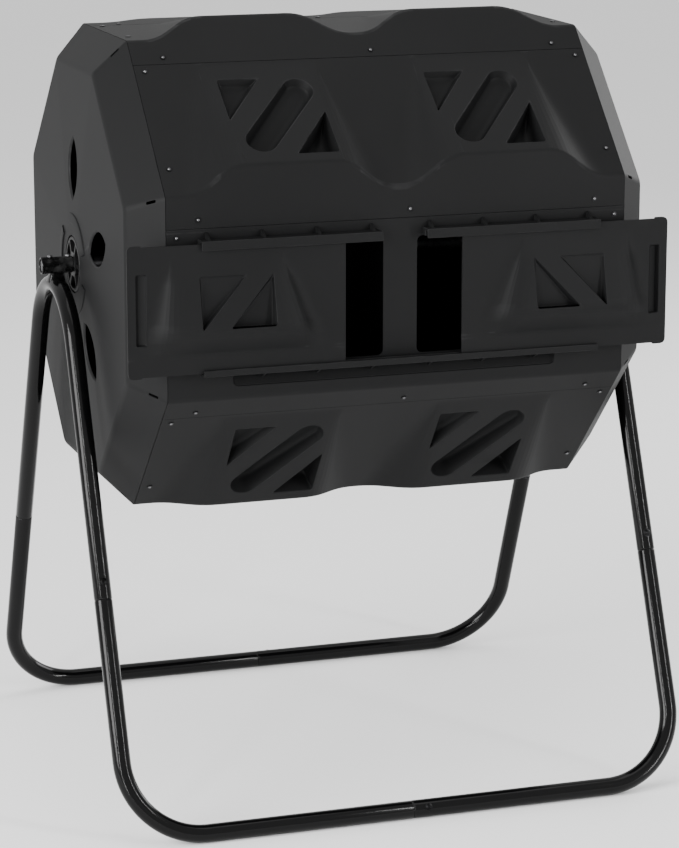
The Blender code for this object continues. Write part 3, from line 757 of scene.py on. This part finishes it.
class Tree:
    """A Geometry Nodes tree that stands one shape on every spot."""

    def __init__(self, name, sizes):
        self.group = bpy.data.node_groups.new(name, "GeometryNodeTree")
        face = self.group.interface
        face.new_socket("Geometry", in_out="OUTPUT", socket_type="NodeSocketGeometry")
        face.new_socket("Spots", in_out="INPUT", socket_type="NodeSocketGeometry")
        self.keys = {}
        for size in sizes:
            self.keys[size] = face.new_socket(size, in_out="INPUT", socket_type="NodeSocketFloat").identifier
        self.source = self.group.nodes.new("NodeGroupInput")

    def size(self, name):
        return self.source.outputs[name]

    def node(self, kind, settings, inputs, output=0):
        made = self.group.nodes.new(kind)
        for key, value in settings.items():
            setattr(made, key, value)
        for key, value in inputs.items():
            for one in value if isinstance(value, list) else [value]:
                if isinstance(one, bpy.types.NodeSocket):
                    self.group.links.new(one, made.inputs[key])
                else:
                    made.inputs[key].default_value = one
        return made.outputs[output]

    def math(self, operation, first, second):
        return self.node("ShaderNodeMath", {"operation": operation}, {0: first, 1: second})

    def facing(self):
        return self.node("GeometryNodeInputNamedAttribute", {"data_type": "FLOAT_VECTOR"}, {"Name": "facing"})

    def stood(self, shape, rotation):
        """Puts the shape on every spot, and ends the tree with its copies as plain geometry."""
        points = self.node("GeometryNodeMeshToPoints", {}, {"Mesh": self.size("Spots")})
        inputs = {"Points": points, "Instance": shape, "Rotation": rotation}
        copies = self.node("GeometryNodeInstanceOnPoints", {}, inputs)
        plain = self.node("GeometryNodeRealizeInstances", {}, {"Geometry": copies})
        sink = self.group.nodes.new("NodeGroupOutput")
        self.group.links.new(plain, sink.inputs["Geometry"])
        return self


def screw_tree():
    """Stands a washer and a domed head with a driver recess on every spot, facing its own way; the blacked
    washer paints the shade round each screw head.
    """
    tree = Tree("screw_heads", ("Head Radius", "Head Height", "Washer Radius"))
    head_r, tall, washer_r = (tree.size(name) for name in ("Head Radius", "Head Height", "Washer Radius"))
    dome = tree.node("GeometryNodeMeshUVSphere", {}, {"Segments": 16, "Rings": 8, "Radius": head_r})
    flat = tree.node("ShaderNodeCombineXYZ", {}, {0: 1.0, 1: 1.0, 2: tree.math("DIVIDE", tall, head_r)})
    dome = tree.node("GeometryNodeTransform", {}, {"Geometry": dome, "Scale": flat})
    arm = tree.node("ShaderNodeCombineXYZ", {}, {0: tree.math("MULTIPLY", head_r, 1.1),
                                                 1: tree.math("MULTIPLY", head_r, 0.26), 2: tall})
    bar = tree.node("GeometryNodeMeshCube", {}, {"Size": arm})
    other = tree.node("GeometryNodeTransform", {}, {"Geometry": bar, "Rotation": (0.0, 0.0, pi / 2)})
    cross = tree.node("GeometryNodeMeshBoolean", {"operation": "UNION", "solver": "EXACT"},
                      {"Mesh 2": [bar, other]})
    lift = tree.node("ShaderNodeCombineXYZ", {}, {2: tree.math("MULTIPLY", tall, 0.95)})
    cross = tree.node("GeometryNodeTransform", {}, {"Geometry": cross, "Translation": lift})
    dome = tree.node("GeometryNodeMeshBoolean", {"operation": "DIFFERENCE", "solver": "EXACT"},
                     {"Mesh 1": dome, "Mesh 2": cross})
    dome = tree.node("GeometryNodeSetMaterial", {}, {"Geometry": dome, "Material": ZINC})
    # The blacked washer is a real washer coloured as a dark ring of painted shade round the head.
    washer_and_painted_shade = tree.node("GeometryNodeMeshCylinder", {}, {"Vertices": 20, "Radius": washer_r, "Depth": 0.0008})
    washer_and_painted_shade = tree.node("GeometryNodeSetMaterial", {}, {"Geometry": washer_and_painted_shade, "Material": BLACKED})
    both = tree.node("GeometryNodeJoinGeometry", {}, {"Geometry": [dome, washer_and_painted_shade]})
    turn = tree.node("FunctionNodeAlignRotationToVector", {"axis": "Z"}, {"Vector": tree.facing()})
    twist = tree.math("MULTIPLY", tree.node("GeometryNodeInputIndex", {}, {}), 1.7)
    twist = tree.node("ShaderNodeCombineXYZ", {}, {2: twist})
    turn = tree.node("FunctionNodeRotateRotation", {"rotation_space": "LOCAL"},
                     {"Rotation": turn, "Rotate By": twist})
    return tree.stood(both, turn)


def rib_tree():
    """Stands a thin rib, tapered to nothing at its tip, on every spot and turned to suit it."""
    tree = Tree("gussets", ("Thickness", "Reach", "Height"))
    cube = tree.node("GeometryNodeMeshCube", {}, {"Size": (1.0, 1.0, 1.0), "Vertices Z": 2})
    split = tree.group.nodes.new("ShaderNodeSeparateXYZ")
    tree.group.links.new(tree.node("GeometryNodeInputPosition", {}, {}), split.inputs[0])
    taper = tree.math("SUBTRACT", 0.56, split.outputs[2])
    back = tree.math("SUBTRACT", 0.5, split.outputs[1])
    depth = tree.math("MULTIPLY", tree.math("MULTIPLY", back, taper), tree.size("Reach"))
    place = tree.node("ShaderNodeCombineXYZ", {}, {
        0: tree.math("MULTIPLY", split.outputs[0], tree.size("Thickness")),
        1: tree.math("MULTIPLY", depth, -1.0),
        2: tree.math("MULTIPLY", tree.math("ADD", split.outputs[2], 0.5), tree.size("Height"))})
    shape = tree.node("GeometryNodeSetPosition", {}, {"Geometry": cube, "Position": place})
    shape = tree.node("GeometryNodeSetMaterial", {}, {"Geometry": shape, "Material": PLASTIC})
    return tree.stood(shape, tree.node("FunctionNodeEulerToRotation", {}, {"Euler": tree.facing()}))


def gusset_spots():
    """Over and under the rails: each spot's facing is its turn, so the ribs below hang upside down."""
    over, under = AXLE_Z + TOP_RAIL_Z[1] - GUSSET_SUNK, AXLE_Z + LOW_RAIL_Z[1] + GUSSET_SUNK
    spots = []
    for side in SIDES.values():
        xs = [side * (GUSSET_FIRST_X + count * GUSSET_STEP) for count in range(4)]
        spots += [(Vector((x, -RAIL_ROOT_Y, over)), (0, 0, 0)) for x in xs]
        spots += [(Vector((x, -RAIL_ROOT_Y, under)), (0, pi, 0)) for x in xs[:3]]
    return spots


def grown(name, spots, tree, sizes):
    """Runs a tree on a cloud of spots, each with its facing, and keeps the plain mesh."""
    mesh = bpy.data.meshes.new(name)
    mesh.from_pydata([tuple(place) for place, _ in spots], [], [])
    facing = mesh.attributes.new("facing", "FLOAT_VECTOR", "POINT")
    facing.data.foreach_set("vector", [c for _, way in spots for c in way])
    piece = linked(name, mesh)
    modifier = piece.modifiers.new("grow", "NODES")
    modifier.node_group = tree.group
    for size, value in sizes.items():
        modifier[tree.keys[size]] = value
    return baked(piece)


def drum_screw_spots():
    spots = []
    for face in range(8):
        _, _, normal, width = face_axes(face)
        way = Vector((0, normal.x, normal.y))
        ends = [(side * END_SCREW_X, u) for side in SIDES.values()
                for u in (END_SCREW_U[0], width - END_SCREW_U[1])]
        spots += [(on_face(face, x, u, SCREW_PROUD), way) for x, u in SEAM_SCREWS + ends]
    return spots


def frame_bolt_spots():
    spots = []
    for end in ENDS.values():
        way = Vector((0, end * cos(LEAN), sin(LEAN)))
        places = [leg_point(side, end, JOINT_Z + BOLT_UP * cos(LEAN)) for side in SIDES.values()]
        places.append(Vector((FLOOR_BOLT_X, end * FOOT_Y, FOOT_Z)))
        spots += [(place + way * (TUBE_SKIN_R + BOLT_PROUD), way) for place in places]
    return spots


# ---------------- caps and hubs

def cap_ring(x, inset, reach):
    """The drum's outline with curved corners and extra points along its sides."""
    ring = eased(octagon(x, inset), reach, closed=True, steps=4)
    out = []
    for k in range(0, len(ring), 5):
        out += ring[k:k + 5]
        start, end = ring[k + 4], ring[(k + 5) % len(ring)]
        out += [start.lerp(end, n / 6) for n in range(1, 6)]
    return out


def axle_arm(point):
    return Vector((0, point.y, point.z - AXLE_Z))


def round_ring(x, radius, template):
    """A circle about the axle whose points line up with another ring's."""
    arms = [axle_arm(point).normalized() * radius for point in template]
    return [Vector((x, arm.y, AXLE_Z + arm.z)) for arm in arms]


def vent(side, count):
    """A cutter for one pointed oval vent, flared at the face."""
    angle = pi / 2 - count * VENT_STEP
    out, across = Vector((0, -cos(angle), sin(angle))), Vector((0, sin(angle), cos(angle)))
    arc = (VENT_LONG ** 2 + VENT_WIDE ** 2) / (4 * VENT_WIDE)
    shift = arc - VENT_WIDE / 2
    rings = []
    for grow, level in VENT_RINGS:
        radius = arc + grow
        tip = atan2(sqrt(radius ** 2 - shift ** 2), shift)
        turns = [tip * (1 - 2 * k / 14) for k in range(14)]
        outline = [Vector((sign * radius * sin(t), sign * (radius * cos(t) - shift)))
                   for sign in (1, -1) for t in turns]
        ring = []
        for p in outline:
            spot = out * (VENT_R + p.x) + across * p.y
            share = (FRONT_Y - BEVEL_IN - spot.length) / (FRONT_Y - BEVEL_IN - HUB_SKIRT_R)
            x = FACE_X + (HUB_X - FACE_X) * share + level
            ring.append(Vector((side * x, 0, AXLE_Z)) + spot)
        rings.append(ring)
    return loft(rings)


def ridge_slot(side, corner):
    """A cutter for the small slot near the rim of each bevel ridge."""
    rim, face = octagon(side * CAP_X, 0.0)[corner], octagon(side * FACE_X, BEVEL_IN)[corner]
    down = (face - rim).normalized()
    across = Vector((1, 0, 0)).cross(down).normalized()
    normal = across.cross(down).normalized()
    middle = rim + down * RIDGE_SLOT_DOWN
    half_wide, half_long = RIDGE_SLOT_WIDE / 2, RIDGE_SLOT_LONG / 2
    outline = eased(rectangle(-half_wide, half_wide, -half_long, half_long), 0.0014, closed=True, steps=3)
    return prism([middle + across * p.x + down * p.y + normal * 0.006 for p in outline], normal * -0.012)


def make_cap(side_name, side):
    lip_x, rim_x, face_x, hub_x = (side * x for x in (CAP_X - CAP_LIP, CAP_X, FACE_X, HUB_X))
    face_in_x, hub_in_x = side * (FACE_X - WALL), side * (HUB_X - WALL)
    rim_in_x = side * (CAP_X + LIP_IN + WALL - WALL * sqrt(2))
    template = cap_ring(face_x, BEVEL_IN, 0.0050)
    outside = [cap_ring(lip_x, LIP_IN, 0.003), cap_ring(rim_x, LIP_IN, 0.003), cap_ring(rim_x, 0.0, 0.0035),
               template, round_ring(hub_x, HUB_SKIRT_R, template), round_ring(hub_x, HUB_HOLE_R, template)]
    outside = eased_grid(outside, [None, None, 0.0012, 0.0050, 0.0060, None], None)
    face_row = next(k for k, ring in enumerate(outside) if abs(ring[0].x) >= FACE_X - 0.0002)
    skirt_row = next(k for k, ring in enumerate(outside) if axle_arm(ring[0]).length < HUB_SKIRT_R + 0.016)
    pairs = list(zip(outside[face_row + 1], outside[skirt_row - 1]))
    between = [[p.lerp(q, n / 12) for p, q in pairs] for n in range(1, 12)]
    outside = outside[:face_row + 2] + between + outside[skirt_row - 1:]
    inside = [round_ring(hub_in_x, HUB_HOLE_R, template), round_ring(hub_in_x, HUB_SKIRT_R, template),
              cap_ring(face_in_x, BEVEL_IN + WALL * tan(radians(22.5)), 0.0050),
              cap_ring(rim_in_x, LIP_IN + WALL, 0.003), cap_ring(lip_x, LIP_IN + WALL, 0.003)]
    cap = new_object("end_cap_shell_" + side_name, loft(outside + inside, closed=True), [PLASTIC])
    carved(cap, islands([vent(side, count) for count in range(VENTS)]))
    carved(cap, islands([ridge_slot(side, corner) for corner in range(8)]))
    return finished(cap, "drum", ["end_cap_" + side_name], sharp=20)


def make_hub(side_name, side):
    along, soft = Vector((side, 0, 0)), 0.0008
    flange, back = HUB_X - WALL - 0.0003, HUB_X - BUSH_DEEP
    profile = [(back, BUSH_BORE_R), (back, BUSH_R), (flange - BUSH_FLANGE, BUSH_R),
               (flange - BUSH_FLANGE, BUSH_FLANGE_R), (flange, BUSH_FLANGE_R), (flange, BUSH_R),
               (HUB_X - soft, BUSH_R), (HUB_X, BUSH_R - soft),
               (HUB_X, BUSH_BORE_R + soft), (HUB_X - soft, BUSH_BORE_R)]
    shape = turned((0, 0, AXLE_Z), along, profile, 72, closed=True)
    hub = new_object("spoked_hub_" + side_name, shape, [HUB_PLASTIC])
    cuts = []
    for count in range(BUSH_SPOKES):
        middle = 2 * pi * (count + 0.5) / BUSH_SPOKES
        outline = []
        for radius, steps in ((BUSH_BOSS_R, (-1, 0, 1)), (BUSH_RIM_R, (1, 0.6, 0.2, -0.2, -0.6, -1))):
            half = pi / BUSH_SPOKES - BUSH_SPOKE / 2 / radius
            outline += [(radius, middle + step * half) for step in steps]
        corners = [Vector((radius * cos(angle), radius * sin(angle))) for radius, angle in outline]
        corners = eased(corners, 0.0016, closed=True, steps=2)
        start = side * (HUB_X - BUSH_POCKET)
        cuts.append(prism([(start, p.x, AXLE_Z + p.y) for p in corners], along * 2 * BUSH_POCKET))
    carved(hub, islands(cuts))
    broken_edges(hub, 0.0004, 55)
    return finished(hub, "drum", ["hub_" + side_name])


def make_hub_collar(side_name, side):
    """Low raised arcs round the hub, part of the cap's moulding."""
    shapes = []
    for first, last in COLLAR_ARCS:
        rings = []
        for k in range(25):
            angle = radians(first + (last - first) * k / 24)
            out = Vector((0, -cos(angle), sin(angle)))
            rings.append([Vector((side * (HUB_X + lift - (radius - HUB_SKIRT_R) * COLLAR_FALL), 0, AXLE_Z))
                          + out * radius for radius, lift in COLLAR_PROFILE])
        shapes.append(loft(rings))
    collar = new_object("hub_collar_" + side_name, islands(shapes), [PLASTIC])
    return finished(collar, "drum")


# ---------------- doors

def make_door(side_name, side):
    """A sliding door: a plate with a hooked outer tab, a swollen middle, two triangles and a grip groove."""
    reach = 0.004
    zs = [(DOOR_Z[0] - reach, 0, 0), (BULGE_LOW_Z, 1, 0), (BULGE_PEAK_Z, BULGE_PEAK_WIDEN, 1),
          (BULGE_TOP_Z, 0, 0), (DOOR_Z[1] + reach, 0, 0)]
    rows = []
    for z, t, rise in zs:
        near = BULGE_NEAR[0] + (BULGE_NEAR[1] - BULGE_NEAR[0]) * t
        far = BULGE_FAR[0] + (BULGE_FAR[1] - BULGE_FAR[0]) * t
        run = max(BULGE_RUN * t, 0.003)
        columns = [(-reach, 0), (near - run, 0), (near, rise), (far, rise), (far + run, 0),
                   (DOOR_LONG + reach, 0)]
        rows.append([Vector((side * (DOOR_START + s), -DOOR_Y - BULGE_RISE * share, AXLE_Z + z))
                     for s, share in columns])
    skin = eased_grid(rows, [None, 0.0040, 0.0110, 0.0260, None],
                      [None, 0.0140, 0.0240, 0.0240, 0.0140, None])
    shape, spare = block(skin, lambda p: Vector((p.x, -DOOR_Y + 0.014, p.z)))
    door = new_object("door_plate_" + side_name, shape, [PLASTIC, PLASTIC], spare)
    low, high, tab, soft = AXLE_Z + DOOR_Z[0], AXLE_Z + DOOR_Z[1], DOOR_LONG - DOOR_TAB, 0.0004
    outline = [(0, low), (tab, low), (tab + 0.001, low - DOOR_TAB_OVER), (DOOR_LONG, low - DOOR_TAB_OVER),
               (DOOR_LONG, high + DOOR_TAB_OVER), (tab + 0.001, high + DOOR_TAB_OVER), (tab, high), (0, high)]
    outline = eased([Vector((side * (DOOR_START + s), z)) for s, z in outline],
                    [DOOR_CORNER, soft, soft, DOOR_CORNER] * 2, closed=True)
    edge = prism([(p.x, -0.32, p.y) for p in outline], (0, 0.12, 0))
    carved(door, edge, "INTERSECT", removed=range(len(edge[1])))
    slope = Seat(Vector((0, -DOOR_Y, AXLE_Z + BULGE_TOP_Z)),
                 Vector((0, -BULGE_RISE, BULGE_PEAK_Z - BULGE_TOP_Z)))
    plate = Seat(Vector((0, -DOOR_Y, AXLE_Z)), Vector((0, 0, -1)))
    outer_x = DOOR_START + DOOR_LONG

    def placed(corners, corner_reach):
        return cornered([(side * (outer_x - back), s) for back, s in corners], corner_reach)

    def sunk(_, s):
        return 0.0016 + 0.19 * max(0.0, s - 0.018)

    def steep(x, _):
        return 0.0015 + 0.0045 * min(1, max(0, (abs(x) - (outer_x - 0.0225)) / 0.0115))

    cutters = [pocket(slope, placed(corners, 0.0030), sunk, draft=0.0014, flare=0.0009, bowl=0.10)
               for corners in DOOR_TRIANGLES]
    cutters.append(pocket(plate, placed(DOOR_GROOVE, 0.0022), steep, draft=0.0008, flare=0.0008, bowl=0.06))
    carved(door, islands(cutters))
    walled(open_skin(door), DOOR_WALL, 0.0008)
    return finished(door, "door_" + side_name, ["door_" + side_name])


# ---------------- stand

def leg_point(side, end, z):
    return Vector((side * LEG_X, end * (FOOT_Y - (z - FOOT_Z) * tan(LEAN)), z))


def bent_path(corners, radius, steps):
    """The polyline through three corners, with the middle one rounded to a radius."""
    before, corner, after = (Vector(point) for point in corners)
    come, leave = (corner - before).normalized(), (after - corner).normalized()
    turn = come.angle(leave)
    centre = corner + (leave - come).normalized() * (radius / cos(turn / 2))
    arm = corner - come * radius * tan(turn / 2) - centre
    axis = come.cross(leave).normalized()
    bend = [centre + Matrix.Rotation(turn * k / steps, 3, axis) @ arm for k in range(steps + 1)]
    return [before] + bend + [after]


def swept(path, normal, radius, sides=36):
    """A round bar along a path square to a normal, with rounded ends."""
    last = len(path) - 1
    heading = [(path[min(k + 1, last)] - path[max(k - 1, 0)]).normalized() for k in range(last + 1)]
    stations = [(path[k], heading[k], radius) for k in range(1, last)]
    lip = 0.0009
    start = [(path[0] + heading[0] * lip * (1 - cos(a)), heading[0], radius - lip * (1 - sin(a)))
             for a in (0, pi / 6, pi / 3, pi / 2)]
    final = [(path[last] - heading[last] * lip * (1 - cos(a)), heading[last], radius - lip * (1 - sin(a)))
             for a in (pi / 2, pi / 3, pi / 6, 0)]
    rings = []
    for centre, way, r in start + stations + final:
        across = normal.cross(way).normalized()
        turns = [2 * pi * k / sides for k in range(sides)]
        rings.append([centre + (across * cos(a) + normal * sin(a)) * r for a in turns])
    return loft(rings)


def make_stand():
    for side_name, side in SIDES.items():
        corners = [leg_point(side, -1, JOINT_Z), (side * LEG_X, 0, LEG_PEAK_Z), leg_point(side, 1, JOINT_Z)]
        path = bent_path(corners, TOP_BEND_R, 36)
        leg = new_object("leg_tube_" + side_name, swept(path, Vector((1, 0, 0)), TUBE_SKIN_R), [COAT])
        finished(leg, "frame", ["leg_frame_" + side_name], weighted=False)
        for end_name, end in ENDS.items():
            down = Vector((0, end * sin(LEAN), -cos(LEAN)))
            start = leg_point(side, end, JOINT_Z) + down * JOINT_GAP
            foot = Vector((side * LEG_X, end * FOOT_Y, FOOT_Z))
            middle = Vector((side * JOINT_GAP / 2, end * FOOT_Y, FOOT_Z))
            normal = down.cross(middle - foot).normalized()
            path = bent_path([start, foot, middle], FLOOR_BEND_R, 28)
            tube = new_object(f"floor_tube_{end_name}_{side_name}", swept(path, normal, TUBE_SKIN_R), [COAT])
            node = f"lower_tube_{end_name}_{side_name}"
            finished(tube, "frame", [node], weighted=False)


def make_axle():
    """The axle rod, and the sleeve and saddle that hold it on each leg."""
    tip = 0.0010
    profile = [(-AXLE_HALF, AXLE_R - tip), (-AXLE_HALF + tip, AXLE_R),
               (AXLE_HALF - tip, AXLE_R), (AXLE_HALF, AXLE_R - tip)]
    axle = new_object("steel_axle", turned((0, 0, AXLE_Z), (1, 0, 0), profile, 40), [ZINC])
    finished(axle, "frame", ["axle"], weighted=False)
    low, high = SLEEVE_X
    soft = 0.0007
    profile = [(low, SLEEVE_BORE_R + soft), (low, SLEEVE_R - soft), (low + soft, SLEEVE_R),
               (high - soft, SLEEVE_R), (high, SLEEVE_R - soft), (high, SLEEVE_BORE_R + soft),
               (high - soft, SLEEVE_BORE_R), (low + soft, SLEEVE_BORE_R)]
    for name, side in SIDES.items():
        sleeve = turned((0, 0, AXLE_Z), (side, 0, 0), profile, 48, closed=True)
        rings = []
        for z, half_x, half_y in SADDLE:
            corners = rectangle(side * LEG_X - half_x, side * LEG_X + half_x, -half_y, half_y)
            rings.append(eased([Vector((p.x, p.y, z)) for p in corners], 0.004, closed=True, steps=4))
        collar = new_object("axle_collar_" + name, islands([sleeve, loft(rings)]), [COAT])
        finished(collar, "frame", ["axle_sleeve_" + name], weighted=False)


# ---------------- assembly

for number, panel_name in enumerate(PANELS):
    if panel_name == "door_panel":
        make_door_panel(number, panel_name)
    else:
        make_panel(number, panel_name)
make_rails()
for where, sign in SIDES.items():
    make_cap(where, sign)
    make_hub(where, sign)
    make_hub_collar(where, sign)
    make_door(where, sign)
make_stand()
make_axle()

heads = screw_tree()
screws = grown("panel_screws", drum_screw_spots(), heads, SCREW_SIZES)
finished(screws, "drum", [f"{name}_screw_{n}" for name in PANELS for n in (1, 2, 3)],
         weighted=False)
gussets = grown("rail_gussets", gusset_spots(), rib_tree(), GUSSET_SIZES)
finished(gussets, "drum", weighted=False)
bolts = grown("stand_bolts", frame_bolt_spots(), heads, BOLT_SIZES)
for index in range(len(bolts.data.materials)):
    bolts.data.materials[index] = BLACKED
finished(bolts, "frame",
         [f"leg_bolt_{end}_{side}" for end in ENDS for side in SIDES] + [f"floor_bolt_{end}" for end in ENDS],
         weighted=False)
carried = {f"axle_screw_{place}_{side}": ZINC for place in ("inner", "outer") for side in SIDES}
carried["partition"] = PLASTIC
for node, finish in carried.items():
    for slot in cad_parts[node].material_slots:
        slot.material = finish

# ---------------- room, lights and camera

ROOM = Finish("pale_studio_floor")
ROOM_TONE = ROOM.blend(ROOM.noise(0.6, 2.0), (0.91, 0.91, 0.91), (0.94, 0.94, 0.94))
ROOM.finish(Base_Color=ROOM_TONE, Roughness=0.8)
ground = [Vector((p.x, p.y, 0)) for p in rectangle(-FLOOR_HALF, FLOOR_HALF, -FLOOR_HALF, FLOOR_HALF)]
floor = new_object("studio_floor", (ground, [(0, 1, 2, 3)]), [ROOM.material])

world = bpy.data.worlds.new("studio")
world.use_nodes = True
sky = world.node_tree.nodes["Background"]
sky.inputs["Color"].default_value = (1, 1, 1, 1)
sky.inputs["Strength"].default_value = 1.05
bpy.context.scene.world = world


def softbox(name, place, target, width, height, power):
    light = bpy.data.lights.new(name, "AREA")
    light.shape, light.size, light.size_y, light.energy = "RECTANGLE", width, height, power
    lamp = linked(name, light)
    lamp.location = place
    lamp.rotation_euler = (Vector(target) - Vector(place)).to_track_quat("-Z", "Y").to_euler()
    lamp.visible_camera = False


softbox("key_left", (-2.8, -1.0, 1.4), (-0.1, 0, 0.6), 1.4, 1.8, 135)
softbox("top_box", (0.2, -0.3, 3.4), (0, 0, 0.6), 2.4, 1.8, 22)
softbox("fill_right", (3.0, 1.2, 1.6), (0, 0, 0.6), 1.8, 1.8, 60)
softbox("strip_right", (2.0, -2.6, 1.2), (0, 0, 0.5), 0.09, 2.4, 60)
softbox("strip_left", (-2.6, -2.8, 1.2), (0, 0, 0.5), 0.09, 2.4, 60)

lens = bpy.data.cameras.new("camera")
lens.lens = LENS_MM
lens.sensor_width = SENSOR_MM
lens.clip_end = 200
camera = linked("camera", lens)
camera.location = CAMERA_PLACE
camera.rotation_euler = (pi / 2 - CAMERA_TILT, 0, -CAMERA_TURN)
bpy.context.scene.camera = camera
